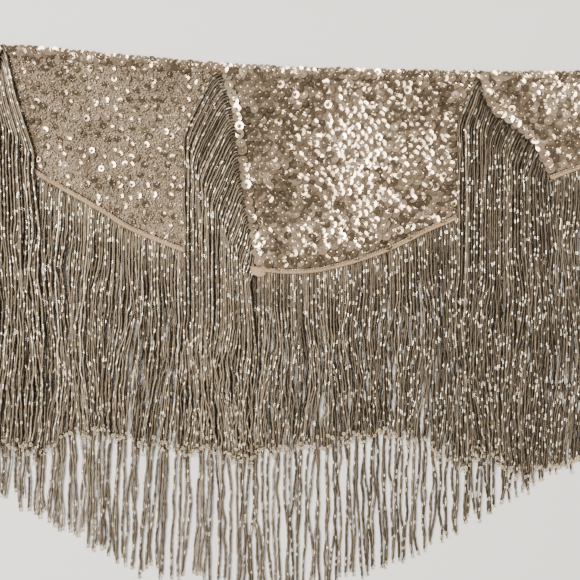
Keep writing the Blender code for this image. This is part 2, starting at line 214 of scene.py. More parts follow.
# Where the strings end, as rows of x, y from left to right
BACK_TIPS = (
    (-237.0, -104.0),
    (-192.0, -127.0),
    (-145.0, -148.0),
    (-85.0, -180.0),
    (-30.0, -190.0),
    (10.0, -197.6),
    (55.0, -187.0),
    (102.0, -171.0),
    (137.0, -150.0),
    (173.0, -131.0),
    (237.0, -90.0),
)
FRONT_TIPS = (
    (-237.0, -86.0),
    (-178.0, -88.0),
    (-160.0, -98.0),
    (-142.0, -84.0),
    (-120.0, -80.0),
    (-63.0, -93.0),
    (-42.0, -86.0),
    (-20.0, -96.0),
    (23.0, -92.0),
    (67.0, -83.0),
    (109.0, -86.0),
    (134.0, -102.0),
    (150.0, -95.0),
    (188.0, -105.0),
    (237.0, -98.0),
)

# The photograph's frame on the surface: its middle and its width
VIEW_MIDDLE = (15.75, 20.05)
VIEW_WIDE = 415.3
LENS = 50.0
SENSOR = 36.0

# The key light, in metres, and the lean that puts its image on the upper right of a cup
KEY_PLACE = (-0.95, 0.3, 2.0)
KEY_WIDE = 1.12
CRESCENT_SIDE = (0.14, -0.05)
TURNED_AWAY = 0.6
TURNED_MORE = 5.0


# Lines and grids


def distances(line):
    steps = np.linalg.norm(np.diff(line, axis=0), axis=1)
    return np.concatenate([[0.0], np.cumsum(steps)])


def at(line, where):
    along = distances(line)
    return np.stack([np.interp(where, along, line[:, k]) for k in range(line.shape[1])], axis=-1)


def smooth_line(points, count):
    """Evenly spaced points on a Catmull-Rom curve through the given ones."""
    p = np.array(points, float)
    p = np.vstack([2 * p[0] - p[1], p, 2 * p[-1] - p[-2]])
    t = np.linspace(0.0, 1.0, 16, endpoint=False)[:, None]
    runs = []
    for a, b, c, d in zip(p, p[1:], p[2:], p[3:]):
        turn = (2 * a - 5 * b + 4 * c - d) * t**2 + (3 * b - a - 3 * c + d) * t**3
        runs.append(0.5 * (2 * b + (c - a) * t + turn))
    fine = np.vstack([*runs, p[-2:-1]])
    return at(fine, np.linspace(0.0, distances(fine)[-1], count))


def outward(line):
    along = np.gradient(line, axis=0)
    along /= np.linalg.norm(along, axis=1)[:, None]
    return np.stack([along[:, 1], -along[:, 0]], axis=1)


def offset(line, distance):
    return line + outward(line) * distance


def height_at(table, x):
    rows = smooth_line(table, 120)
    return np.interp(x, rows[:, 0], rows[:, 1])


def waist_under(x):
    return height_at(WAIST_EDGE, x) - WAIST_WIDE - SEAM


def side_line(top_x, table, end):
    return smooth_line([(top_x, float(waist_under(top_x))), *table, end], EDGE_POINTS)


def hem_inside(name):
    return offset(smooth_line(HEMS[name], EDGE_POINTS), -BINDING_WIDE - SEAM)


def no_lift(points):
    return np.zeros(np.shape(points)[:-1])


def lift_near(side, reach):
    """How much higher a panel lies near the side edge that overlaps the next panel."""

    def lift(points):
        flat = np.reshape(points, (-1, 1, 2))
        away = np.linalg.norm(flat - side[None], axis=2).min(axis=1)
        share = np.clip(away / reach, 0.0, 1.0)
        eased = 1.0 - share**2 * (3.0 - 2.0 * share)
        return (PANEL_LIFT * eased).reshape(np.shape(points)[:-1])

    return lift


def patch(top, bottom, left, right):
    """A grid of points between four edges that share their corners."""
    u = np.linspace(0.0, 1.0, len(top))[:, None, None]
    v = np.linspace(0.0, 1.0, len(left))[None, :, None]
    across = (1 - v) * top[:, None] + v * bottom[:, None]
    down = (1 - u) * left[None] + u * right[None]
    upper = (1 - u) * top[0] + u * top[-1]
    lower = (1 - u) * bottom[0] + u * bottom[-1]
    return across + down - (1 - v) * upper - v * lower


def inside(points, outline):
    """Which points lie inside a closed outline, by counting the edges they pass."""
    x, y = points[:, 0][:, None], points[:, 1][:, None]
    a, b = outline, np.roll(outline, -1, axis=0)
    crosses = (a[:, 1] > y) != (b[:, 1] > y)
    step = np.where(b[:, 1] == a[:, 1], 1e-9, b[:, 1] - a[:, 1])
    reach = (b[:, 0] - a[:, 0]) * (y - a[:, 1]) / step + a[:, 0]
    return (crosses & (x < reach)).sum(axis=1) % 2 == 1


def puckers(points):
    """Soft unevenness of cloth that carries heavy beading."""
    x, y = points[..., 0], points[..., 1]
    long = np.sin(x / 23.0 + 0.6 * np.sin(y / 31.0)) * np.sin(y / 19.0 + 0.4)
    short = np.sin(x / 9.1 + y / 14.0) * np.sin(y / 7.7 - x / 21.0)
    return 0.22 * long + 0.09 * short


# Meshes


def mesh_piece(name, points, faces, material, tint=None, body="root"):
    """A smooth piece from points in millimetres and arrays of faces of one size each."""
    mesh = bpy.data.meshes.new(name)
    points = np.asarray(points, np.float32) * MM
    faces = [np.asarray(f, np.int32) for f in faces if len(f)]
    loops = np.concatenate([f.reshape(-1) for f in faces])
    sizes = np.concatenate([np.full(len(f), f.shape[1], np.int32) for f in faces])
    mesh.vertices.add(len(points))
    mesh.vertices.foreach_set("co", points.reshape(-1))
    mesh.loops.add(len(loops))
    mesh.loops.foreach_set("vertex_index", loops)
    mesh.polygons.add(len(sizes))
    starts = np.concatenate([[0], np.cumsum(sizes)[:-1]]).astype(np.int32)
    mesh.polygons.foreach_set("loop_start", starts)
    mesh.polygons.foreach_set("loop_total", sizes)
    mesh.polygons.foreach_set("use_smooth", np.full(len(sizes), True))
    if tint is not None:
        shade = mesh.attributes.new("tint", "FLOAT", "FACE")
        shade.data.foreach_set("value", np.asarray(tint, np.float32))
    mesh.update(calc_edges=True)
    mesh.validate()
    mesh.materials.append(material)
    piece = bpy.data.objects.new(name, mesh)
    bpy.context.scene.collection.objects.link(piece)
    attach(piece, body)
    return piece


def grid_faces(wide, deep, start=0):
    i, j = np.meshgrid(np.arange(wide - 1), np.arange(deep - 1), indexing="ij")
    a = start + i * deep + j
    return np.stack([a, a + deep, a + deep + 1, a + 1], axis=-1).reshape(-1, 4)


def band_faces(index):
    """Faces between rows of indices that close on themselves."""
    after = np.roll(index, -1, axis=1)
    return np.stack([index[:-1], after[:-1], after[1:], index[1:]], axis=-1).reshape(-1, 4)


def tube_faces(count, ring):
    """Faces of a tube of count rings, with a cap at each end."""
    index = np.arange(count * ring).reshape(count, ring)
    return [band_faces(index), np.stack([index[0][::-1], index[-1]])]


def closed_sheet(grid, low, thick):
    """Points and faces of a cloth wall over a grid, its rims drawn in a little at the top."""
    wide, deep = grid.shape[:2]
    middle = grid.reshape(-1, 2).mean(axis=0)
    rim = np.zeros((wide, deep, 1))
    rim[[0, -1], :] = 1
    rim[:, [0, -1]] = 1
    aside = middle - grid
    aside /= np.linalg.norm(aside, axis=2)[..., None]
    top = np.concatenate([grid + rim * aside * RIM_DRAWN_IN, (low + thick)[..., None]], axis=2)
    under = np.concatenate([grid, low[..., None]], axis=2)
    count = wide * deep
    points = np.vstack([under.reshape(-1, 3), top.reshape(-1, 3)])
    faces = [grid_faces(wide, deep)[:, ::-1], grid_faces(wide, deep, count)]
    index = np.arange(count).reshape(wide, deep)
    ring = np.concatenate([index[:, 0], index[-1, 1:], index[-2::-1, -1], index[0, -2:0:-1]])
    after = np.roll(ring, -1)
    faces.append(np.stack([ring, ring + count, after + count, after], axis=1))
    return points, faces


# Materials


def new_material(name, colour, roughness, metallic=0.0):
    made = bpy.data.materials.new(name)
    made.use_nodes = True
    made.diffuse_color = (*colour, 1.0)
    nodes, links = made.node_tree.nodes, made.node_tree.links
    surface = nodes["Principled BSDF"]
    surface.inputs["Base Color"].default_value = (*colour, 1.0)
    surface.inputs["Roughness"].default_value = roughness
    surface.inputs["Metallic"].default_value = metallic
    return made, nodes, links, surface


def ramp_node(nodes, stops):
    ramp = nodes.new("ShaderNodeValToRGB")
    elements = ramp.color_ramp.elements
    while len(elements) < len(stops):
        elements.new(0.5)
    for element, (place, colour) in zip(elements, stops):
        element.position = place
        element.color = (*colour, 1.0)
    return ramp


def add_bump(nodes, links, surface, height, strength, distance):
    bump = nodes.new("ShaderNodeBump")
    bump.inputs["Strength"].default_value = strength
    bump.inputs["Distance"].default_value = distance
    links.new(height, bump.inputs["Height"])
    links.new(bump.outputs["Normal"], surface.inputs["Normal"])


def object_noise(nodes, links, scale, detail=3.0):
    place = nodes.new("ShaderNodeTexCoord")
    noise = nodes.new("ShaderNodeTexNoise")
    noise.inputs["Scale"].default_value = scale
    noise.inputs["Detail"].default_value = detail
    links.new(place.outputs["Object"], noise.inputs["Vector"])
    return noise


def tinted_material(name, stops, rough_low, rough_high, metallic, coat, gloss_from=0.0):
    """A metal-lined finish whose colour and gloss differ from bead to bead."""
    middle = stops[len(stops) // 2][1]
    made, nodes, links, surface = new_material(name, middle, rough_low, metallic)
    tint = nodes.new("ShaderNodeAttribute")
    tint.attribute_name = "tint"
    ramp = ramp_node(nodes, stops)
    links.new(tint.outputs["Fac"], ramp.inputs["Fac"])
    links.new(ramp.outputs["Color"], surface.inputs["Base Color"])
    gloss = nodes.new("ShaderNodeMapRange")
    gloss.inputs["From Min"].default_value = gloss_from
    gloss.inputs["To Min"].default_value = rough_high
    gloss.inputs["To Max"].default_value = rough_low
    links.new(tint.outputs["Fac"], gloss.inputs["Value"])
    links.new(gloss.outputs["Result"], surface.inputs["Roughness"])
    surface.inputs["Coat Weight"].default_value = coat
    surface.inputs["Coat Roughness"].default_value = 0.12
    noise = object_noise(nodes, links, 900.0)
    add_bump(nodes, links, surface, noise.outputs["Fac"], 0.12, 0.0002)
    return made


def woven_material(name, dark, light, roughness, threads, sheen):
    """Cloth with a fine crossed weave and slow changes of colour."""
    made, nodes, links, surface = new_material(name, light, roughness)
    place = nodes.new("ShaderNodeTexCoord")
    waves = []
    for direction in ("X", "Y"):
        wave = nodes.new("ShaderNodeTexWave")
        wave.bands_direction = direction
        wave.inputs["Scale"].default_value = threads
        wave.inputs["Distortion"].default_value = 1.2
        wave.inputs["Detail"].default_value = 1.0
        links.new(place.outputs["Object"], wave.inputs["Vector"])
        waves.append(wave)
    weave = nodes.new("ShaderNodeMath")
    weave.operation = "MULTIPLY"
    links.new(waves[0].outputs["Fac"], weave.inputs[0])
    links.new(waves[1].outputs["Fac"], weave.inputs[1])
    noise = object_noise(nodes, links, 60.0, 5.0)
    blend = nodes.new("ShaderNodeMath")
    blend.operation = "MULTIPLY_ADD"
    blend.inputs[1].default_value = 0.35
    links.new(weave.outputs["Value"], blend.inputs[0])
    links.new(noise.outputs["Fac"], blend.inputs[2])
    ramp = ramp_node(nodes, ((0.25, dark), (0.8, light)))
    links.new(blend.outputs["Value"], ramp.inputs["Fac"])
    links.new(ramp.outputs["Color"], surface.inputs["Base Color"])
    surface.inputs["Sheen Weight"].default_value = sheen
    surface.inputs["Sheen Roughness"].default_value = 0.5
    add_bump(nodes, links, surface, weave.outputs["Value"], 0.5, 0.0003)
    return made


SEQUIN_STOPS = (
    (0.0, (0.125, 0.092, 0.058)),
    (0.25, (0.29, 0.217, 0.147)),
    (0.5, (0.45, 0.345, 0.238)),
    (0.72, (0.60, 0.46, 0.35)),
    (0.86, (0.58, 0.50, 0.34)),
    (1.0, (0.80, 0.70, 0.55)),
)
BEAD_STOPS = (
    (0.0, (0.052, 0.04, 0.026)),
    (0.35, (0.12, 0.095, 0.064)),
    (0.65, (0.22, 0.178, 0.124)),
    (0.85, (0.40, 0.345, 0.26)),
    (1.0, (0.66, 0.61, 0.52)),
)
SEED_STOPS = (
    (0.0, (0.22, 0.167, 0.112)),
    (0.6, (0.68, 0.54, 0.39)),
    (1.0, (0.92, 0.82, 0.66)),
)
KNOT_STOPS = (
    (0.0, (0.36, 0.27, 0.16)),
    (0.6, (0.52, 0.42, 0.27)),
    (1.0, (0.66, 0.58, 0.44)),
)

sequin_finish = tinted_material(
    "sequin_foil", SEQUIN_STOPS, rough_low=0.06, rough_high=0.14, metallic=0.6, coat=0.0
)
bead_finish = tinted_material(
    "bead_glass",
    BEAD_STOPS,
    rough_low=0.14,
    rough_high=0.58,
    metallic=0.72,
    coat=0.06,
    gloss_from=0.78,
)
seed_finish = tinted_material(
    "seed_bead_glass", SEED_STOPS, rough_low=0.15, rough_high=0.4, metallic=0.45, coat=0.3
)
knot_finish = tinted_material(
    "thread", KNOT_STOPS, rough_low=0.7, rough_high=0.9, metallic=0.0, coat=0.0
)
panel_finish = woven_material(
    "panel_cloth",
    dark=(0.12, 0.09, 0.058),
    light=(0.27, 0.21, 0.142),
    roughness=0.8,
    threads=700.0,
    sheen=0.1,
)
lining_finish = woven_material(
    "lining_cloth",
    dark=(0.075, 0.065, 0.048),
    light=(0.15, 0.13, 0.10),
    roughness=0.85,
    threads=500.0,
    sheen=0.2,
)
tape_finish = woven_material(
    "tape",
    dark=(0.22, 0.14, 0.075),
    light=(0.44, 0.295, 0.17),
    roughness=0.75,
    threads=900.0,
    sheen=0.1,
)


# Sequins


def ring_template(rings, sides):
    """Points and faces of a form about +Z, from the radius and height of its rings."""
    turn = np.linspace(0.0, 2 * np.pi, sides, endpoint=False)
    points = [
        np.stack([radius * np.cos(turn), radius * np.sin(turn), np.full(sides, height)], axis=1)
        for radius, height in rings
    ]
    faces = []
    for ring in range(len(rings) - 1):
        for k in range(sides):
            a, b = ring * sides + k, ring * sides + (k + 1) % sides
            faces.append((a, b, b + sides, a + sides))
    return np.vstack(points), np.array(faces)


def sequin_template():
    """A sequin with a dimple round its hole and a wide sloping rim, faces upward."""
    points, faces = ring_template(SEQUIN_RINGS, SEQUIN_SIDES)
    return points, faces[:, [0, 3, 2, 1]]


def turned(normals, spins):
    """Rotations that carry +Z to each normal, after a spin about +Z."""
    z = normals / np.linalg.norm(normals, axis=1)[:, None]
    help_axis = np.where(np.abs(z[:, :1]) < 0.9, [[1.0, 0.0, 0.0]], [[0.0, 1.0, 0.0]])
    x = np.cross(help_axis, z)
    x /= np.linalg.norm(x, axis=1)[:, None]
    y = np.cross(z, x)
    c, s = np.cos(spins)[:, None], np.sin(spins)[:, None]
    return np.stack([x * c + y * s, y * c - x * s, z], axis=2)


def copies(template, faces, centres, rotations, scales):
    points = np.einsum("nij,pj->npi", rotations, template) * scales[:, None, None]
    points += centres[:, None]
    shift = np.arange(len(centres))[:, None, None] * len(template)
    return points.reshape(-1, 3), (faces[None] + shift).reshape(-1, faces.shape[1])


def sequins(name, centres, normals, tints, scales):
    template, faces = sequin_template()
    spins = random.uniform(0.0, 2 * np.pi, len(centres))
    points, quads = copies(template, faces, centres, turned(normals, spins), scales)
    tint = np.repeat(tints, len(faces))
    mesh_piece(name, points, [quads], sequin_finish, tint)


def seeds(name, centres, normals, radii, material, tints):
    template, faces = ring_template(SEED_RINGS, SEED_SIDES)
    spins = random.uniform(0.0, 2 * np.pi, len(centres))
    points, quads = copies(template, faces, centres, turned(normals, spins), radii)
    mesh_piece(name, points, [quads], material, np.repeat(tints, len(faces)))


def uneven_tints(count, middle=0.5, spread=0.2):
    return np.clip(random.normal(middle, spread, count), 0.0, 1.0)


def upward(count, spread):
    """Upward directions that lean by chance."""
    return np.column_stack([random.normal(0, spread, (count, 2)), np.ones(count)])


def seed_row(name, points, height, lean, sizes, middle):
    """Small beads sewn in a row, their tints about a middle value."""
    count = len(points)
    normals = upward(count, lean)
    radii = random.uniform(*sizes, count)
    tints = uneven_tints(count, middle, 0.25)
    seeds(name, np.column_stack([points, height]), normals, radii, seed_finish, tints)


# Strings of beads


def bead_strings(name, paths, node):
    """One mesh of many strings, each a row of faceted beads along its path."""
    turn = np.linspace(0.0, 2 * np.pi, BEAD_SIDES, endpoint=False)
    all_points, all_faces, all_tints, start = [], [], [], 0
    for path in paths:
        length = distances(path)[-1]
        beads = max(3, int(length / BEAD_LONG))
        stations = np.linspace(0.0, length, 2 * beads + 1)
        stations[1:-1] += random.uniform(-0.35, 0.35, 2 * beads - 1)
        centres = at(path, stations)
        ahead = np.gradient(centres, axis=0)
        ahead /= np.linalg.norm(ahead, axis=1)[:, None]
        side = np.cross(ahead, (0.0, 0.0, 1.0))
        side /= np.linalg.norm(side, axis=1)[:, None]
        up = np.cross(side, ahead)
        sizes = np.where(np.arange(2 * beads + 1) % 2 == 1, 1.0, 0.84)
        sizes = sizes * BEAD_RADIUS * random.uniform(0.9, 1.08, 2 * beads + 1)
        sizes[[0, -1]] = 0.08
        centres[1:-1] += random.normal(0.0, 0.1, (2 * beads - 1, 3))
        twist = random.uniform(0, 2 * np.pi) + np.cumsum(random.normal(0.0, 0.25, 2 * beads + 1))
        angle = twist[:, None] + turn[None]
        ring = np.cos(angle)[..., None] * side[:, None] + np.sin(angle)[..., None] * up[:, None]
        points = centres[:, None] + ring * sizes[:, None, None]
        index = start + np.arange(points.shape[0] * BEAD_SIDES).reshape(-1, BEAD_SIDES)
        base = random.normal(STRING_TINT, STRING_TINT_SPREAD)
        # Painted shade: strings that end further right get a darker tint, standing in for the
        # light falling off there
        base -= PAINTED_SHADE_RATE * np.clip(path[-1, 0], 0.0, PAINTED_SHADE_END)
        bead_tint = np.repeat(np.clip(base + random.normal(0.0, 0.08, beads), 0.0, 1.0), 2)
        glint = random.random(2 * beads) < GLINT_SHARE
        bead_tint[glint] = random.uniform(0.85, 1.0, glint.sum())
        all_points.append(points.reshape(-1, 3))
        all_faces.append(band_faces(index))
        all_tints.append(np.repeat(bead_tint, BEAD_SIDES))
        start += points.shape[0] * BEAD_SIDES
    points, faces = np.vstack(all_points), np.vstack(all_faces)
    piece = mesh_piece(name, points, [faces], bead_finish, np.concatenate(all_tints))
    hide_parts(node)


def wander(x, y, seed):
    """A sideways drift that neighbouring strings share, so that they gather and part."""
    wide = 2.2 * np.sin(x / 15.0 + y / 33.0 + seed) + 0.8 * np.sin(x / 5.8 - y / 22.0 + 2.1 * seed)
    return wide + 0.35 * np.sin(x / 2.6 + y / 15.0 + 0.7 * seed)


def hanging_path(x, top, tip, level, seed, shared=1.15, kink=0.62, spread=0.011):
    """Points of a string that lies from top to tip, as x, y, z rows without its start."""
    y = np.linspace(top, tip, STRING_ROWS)
    fallen = np.minimum((top - y) / SETTLING, 1.0)
    kinks = random.normal(0.0, kink, len(y))
    for k in range(1, len(y)):
        kinks[k] += KINK_MEMORY * kinks[k - 1]
    stray = random.normal(0.0, spread) * (top - y)
    if random.random() < STRAY_SHARE:
        stray *= 3.0
        level += 0.7
    lean = -0.05 * (top - y) * np.exp(-(((x + 95.0) / 55.0) ** 2))
    drift = lean + stray + fallen * (shared * wander(x, y, seed) + kinks)
    lift = 0.3 * (1 + np.sin(y / 21.0 + random.uniform(0, 2 * np.pi)))
    across = x + drift
    past = np.maximum(np.abs(across) - HALF_WIDTH + 1.5, 0.0)
    across -= np.sign(across) * 0.8 * past
    return np.stack([across, y, level + lift], axis=1)


def root_points(line, where):
    normals = outward(line)
    point = at(line, where)
    along = distances(line)
    normal = np.stack([np.interp(where, along, normals[:, k]) for k in (0, 1)], axis=-1)
    return point, normal / np.linalg.norm(normal, axis=1)[:, None]


def hem_paths(name, start, end):
    edge = offset(smooth_line(HEMS[name], 160), -STRIP_INSET - 1.2)
    length = distances(edge)[-1]
    lift = lifts[name]
    count = int((length - start - end) / HEM_PITCHES[name])
    where = np.linspace(start, length - end, count) + random.uniform(-0.3, 0.3, count)
    paths = []
    for number, (point, normal) in enumerate(zip(*root_points(edge, where))):
        base = PANEL_LOW + 0.65 + float(lift(point[None])[0])
        out = point + normal * random.uniform(3.0, 4.2)
        x = point[0] + normal[0] * random.uniform(4.5, 6.5)
        top = point[1] - HEM_FALL
        tip = float(height_at(FRONT_TIPS, x)) + random.normal(0.0, 3.2)
        level = HEM_LEVEL + LAYER_RISE * (number % 2)
        fall = hanging_path(x, top, tip, level, 0.4)
        lead = np.array([(*point, base), (*out, base)])
        middle = 0.5 * (lead[1] + fall[0]) + np.array((0.25 * normal[0], 0.0, 0.4))
        paths.append(smooth_line(np.vstack([lead, middle, fall]), 60))
    return paths


def side_paths(name, first_x, last_x, below):
    count = SIDE_STRINGS[name]
    line = offset(towards_next(name), -STRIP_INSET - 1.0)
    length = distances(line)[-1]
    where = np.linspace(3.5, length - 2.5, count)
    paths = []
    for number, (point, normal) in enumerate(zip(*root_points(line, where))):
        x = first_x + (last_x - first_x) * number / (count - 1) + random.uniform(-1.2, 1.2)
        aside = abs(x - point[0])
        least, slower = SIDE_BENDS[name]
        drop = least + slower * aside
        over = SIDE_STRIP_LOW + 0.75 + 1.5 * (number % 2)
        low = SIDE_LEVEL + LAYER_RISE * (number % 2)
        base = (*point, SIDE_STRIP_LOW + 0.65)
        out = point + normal * (2.5 + 0.25 * aside / slower)
        back = min(0.5, 0.2 * slower + 0.1) * (x - point[0])
        bend = (x - back, point[1] - 0.45 * drop)
        turn_y = point[1] - drop
        leave = min(turn_y - 2.0, float(height_at(below, x)) - 2.0)
        rows = [base, (*out, over), (*bend, over), (x, turn_y, over)]
        if turn_y - leave > 12.0:
            for y in np.linspace(turn_y, leave, 5)[1:-1]:
                rows.append((x + 0.5 * np.sin(y / 9.0 + number), y, over))
        rows.append((x, leave, over))
        tip = float(height_at(FRONT_TIPS, x)) - 3.0 + random.normal(0.0, 4.0)
        aside_low = x + CORNER_SPREAD * (number / (count - 1)) ** 4
        fall = hanging_path(aside_low, leave - SIDE_FALL, tip, low, 1.3)
        paths.append(smooth_line(np.vstack([rows, fall]), 80))
    return paths


def back_paths():
    edge = offset(smooth_line(BACK_EDGE, 200), SEAM + 1.0)
    edge = edge[np.abs(edge[:, 0]) < HALF_WIDTH - 2.0]
    length = distances(edge)[-1]
    count = int(length / BACK_PITCH)
    where = np.linspace(1.5, length - 1.5, count) + random.uniform(-0.4, 0.4, count)
    paths = []
    for number, (point, normal) in enumerate(zip(*root_points(edge, where))):
        x = point[0] + 3.0 * normal[0]
        tip = max(float(height_at(BACK_TIPS, x)) + random.normal(0.0, 3.0), -200.0)
        level = BACK_LEVEL + 0.4 * (number % 2)
        top = point[1] - 8.0
        fall = hanging_path(x, top, tip, level, 2.2, shared=0.35, kink=0.8, spread=0.004)
        paths.append(smooth_line(np.vstack([[(*point, 1.0)], fall]), 60))
    return paths


def tip_loops(name, paths):
    """Loops of thread that end the strings, lying flat and turned at random."""
    major, minor, around, tube = 0.75, 0.45, 6, 3
    turn = np.linspace(0.0, 2 * np.pi, around, endpoint=False)
    ring = np.linspace(0.0, 2 * np.pi, tube, endpoint=False)
    a, b = np.meshgrid(turn, ring, indexing="ij")
    template = np.stack(
        [
            (major + minor * np.cos(b)) * np.cos(a),
            (major * 1.4 + minor * np.cos(b)) * np.sin(a),
            minor * np.sin(b),
        ],
        axis=-1,
    ).reshape(-1, 3)
    i, j = np.meshgrid(np.arange(around), np.arange(tube), indexing="ij")
    after_i, after_j = (i + 1) % around, (j + 1) % tube
    corners = [i * tube + j, after_i * tube + j, after_i * tube + after_j, i * tube + after_j]
    faces = np.stack(corners, axis=-1).reshape(-1, 4)
    ends = np.array([path[-1] for path in paths]) - (0.0, 1.0, 0.0)
    count = len(ends)
    lean_x, lean_y = random.normal(0, 0.35, count), random.normal(0, 0.35, count)
    normals = np.column_stack([lean_x, lean_y, np.ones(count)])
    spins = random.normal(0.0, 0.9, count)
    sizes = random.uniform(0.8, 1.25, count)
    points, quads = copies(template, faces, ends, turned(normals, spins), sizes)
    tints = np.repeat(uneven_tints(count, 0.55, 0.25), len(faces))
    mesh_piece(name, points, [quads], knot_finish, tints)


def end_seeds(name, paths):
    ends = np.array([path[-1] for path in paths]) - (0.0, 0.7, 0.0)
    ends[:, 2] = np.maximum(ends[:, 2], 1.45)
    normals = np.tile([[0.0, 1.0, 0.15]], (len(ends), 1))
    radii = random.uniform(0.95, 1.25, len(ends))
    tints = uneven_tints(len(ends), 0.7, 0.2)
    seeds(name, ends, normals, radii, knot_finish, tints)


# Panels

side_lines = {
    name: side_line(SIDE_TOPS[name], SIDES[name], hem_inside(name)[end])
    for name, end in (("left_outer", -1), ("right_front", 0), ("right_outer", 0))
}
lifts = {
    "left_outer": lift_near(side_lines["left_outer"], 34.0),
    "left_front": no_lift,
    "right_front": lift_near(side_lines["right_front"], 40.0),
    "right_outer": lift_near(side_lines["right_outer"], 40.0),
}


def towards_next(name):
    """A side edge in the direction that has the next panel on its outer side."""
    return side_lines[name][::-1] if name == "left_outer" else side_lines[name]


def under(name, shift, end):
    """The edge of the panel that lies under this side edge."""
    moved = [(x + shift, y) for x, y in SIDES[name]]
    return side_line(SIDE_TOPS[name] + shift, moved, end)


def panel_edges(name):
    """The lower, left and right edge of a panel."""
    bottom = hem_inside(name)
    first, last = bottom[0], bottom[-1]
    if name == "left_outer":
        return bottom, side_line(-END_X, (), first), side_lines[name]
    if name == "left_front":
        return bottom, under("left_outer", -OVERLAP, first), under("right_front", OVERLAP, last)
    if name == "right_front":
        return bottom, side_lines[name], under("right_outer", OVERLAP, last)
    return bottom, side_lines[name], side_line(END_X, (), last)


def panel_grid(name, columns, rows):
    bottom, left, right = panel_edges(name)
    bottom = at(bottom, np.linspace(0.0, distances(bottom)[-1], columns))
    top_x = np.linspace(left[0][0], right[0][0], columns)
    top = np.stack([top_x, waist_under(top_x)], axis=1)
    left = at(left, np.linspace(0.0, distances(left)[-1], rows))
    right = at(right, np.linspace(0.0, distances(right)[-1], rows))
    return patch(top, bottom, left, right)


def outline_of(grid):
    return np.vstack([grid[:, 0], grid[-1, 1:], grid[-2::-1, -1], grid[0, -2:0:-1]])


def cloth_top(name, points):
    return PANEL_LOW + CLOTH_THICK + lifts[name](points) + puckers(points) + CLOTH_LIFT


def make_cloth(name, columns, rows):
    grid = panel_grid(name, columns, rows)
    low = PANEL_LOW + lifts[name](grid) + puckers(grid) + CLOTH_LIFT
    points, faces = closed_sheet(grid, low, CLOTH_THICK)
    piece = mesh_piece(f"{name}_cloth", points, faces, panel_finish)
    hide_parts(f"{name}_panel")
    return grid


def scattered(outline, across, down, jitter):
    """Points in offset rows inside an outline, each moved a little."""
    low, high = outline.min(axis=0), outline.max(axis=0)
    rows = np.arange(low[1], high[1], down)
    found = []
    for number, y in enumerate(rows):
        x = np.arange(low[0] + (number % 2) * across / 2, high[0], across)
        found.append(np.stack([x, np.full(len(x), y)], axis=1))
    points = np.vstack(found)
    points += random.uniform(-jitter, jitter, points.shape)
    return points[inside(points, outline)]


def brightness(points):
    """From 0 to 1, how much the cloth at each point is turned towards the light, and how much
    lighter its sequins and seed beads are painted there as a painted highlight.
    """
    bright = np.zeros(len(points))
    for x, y, wide, high in BRIGHT_SPOTS:
        away = ((points[:, 0] - x) / wide) ** 2 + ((points[:, 1] - y) / high) ** 2
        bright = np.maximum(bright, np.exp(-away))
    return bright


def mirror_slopes(points):
    """The lean at which a flat sequin mirrors the key light into the camera."""
    to_light = (np.array(KEY_PLACE[:2]) / MM - points) / (KEY_PLACE[2] / MM)
    to_camera = (np.array(VIEW_MIDDLE) - points) / (VIEW_WIDE * LENS / SENSOR)
    return (to_light + to_camera) / 2


def chance_lean(count, tilt):
    """Leans by chance, a share of them turned well away."""
    lean = random.normal(0.0, tilt, (count, 2))
    lean[random.random(count) < TURNED_AWAY] *= TURNED_MORE
    return lean


def slope_normals(name, points, tilt):
    """Upward directions over a panel, leaning by chance and by the rows' overlap."""
    step = 1.0
    here = cloth_top(name, points)
    dx = (cloth_top(name, points + (step, 0.0)) - here) / step
    dy = (cloth_top(name, points + (0.0, step)) - here) / step
    lean = chance_lean(len(points), tilt)
    x, y = points[:, 0], points[:, 1]
    bright = brightness(points)
    patches = 0.13 * np.sin(x / 11.0 + 0.9 * np.sin(y / 15.0)) * np.sin(y / 12.0 + x / 31.0)
    lean += mirror_slopes(points) + CRESCENT_SIDE
    lean[:, 1] += (1.0 - bright) * (0.23 + patches)
    return np.stack([lean[:, 0] - dx, lean[:, 1] - dy, np.ones(len(points))], axis=1)


def dress_panel(name, columns, rows):
    dress = DRESSES[name]
    grid = make_cloth(name, columns, rows)
    outline = outline_of(grid)
    centre = outline.mean(axis=0)
    points = scattered(outline, dress.across, dress.down, dress.jitter)
    clear = np.linalg.norm(points[:, None] - outline[None, ::2], axis=2).min(axis=1)
    points = points[clear > 1.0]
    height = cloth_top(name, points) + dress.height + random.uniform(-0.2, 0.4, len(points))
    centres = np.column_stack([points, height])
    patchy = 0.07 * np.sin(points[:, 0] / 17.0 + 1.0) * np.sin(points[:, 1] / 13.0)
    # Painted highlight: inside the bright spots the sequins get lighter tints, on top of a slow
    # change of tone
    middle = 0.09 + 0.33 * brightness(points) + patchy
    tints = np.clip(middle + random.normal(0.0, 0.22, len(points)), 0.0, 1.0)
    scales = dress.scale * random.uniform(0.9, 1.1, len(points))
    sequins(f"{name}_sequins", centres, slope_normals(name, points, dress.tilt), tints, scales)
    spots = scattered(outline, dress.seed_across, dress.seed_across * 0.9, 0.9)
    spots = spots + (centre - spots) * 0.004
    height = cloth_top(name, spots) + 0.8 + random.uniform(0, 0.45, len(spots))
    centres = np.column_stack([spots, height])
    normals = upward(len(spots), 0.6)
    radii = random.uniform(0.8, 1.2, len(spots)) * SEED_RADIUS
    x, y = spots[:, 0], spots[:, 1]
    waves = 0.2 * np.sin(x / 9.0 + 1.4 * np.sin(y / 14.0)) * np.sin(y / 11.0 + x / 27.0)
    # Painted highlight: inside the bright spots the seed beads get lighter tints, on top of a slow
    # change of tone
    middle = 0.47 + 0.3 * brightness(spots) + waves
    tints = np.clip(middle + random.normal(0.0, 0.24, len(spots)), 0.0, 1.0)
    seeds(f"{name}_seed_beads", centres, normals, radii, seed_finish, tints)


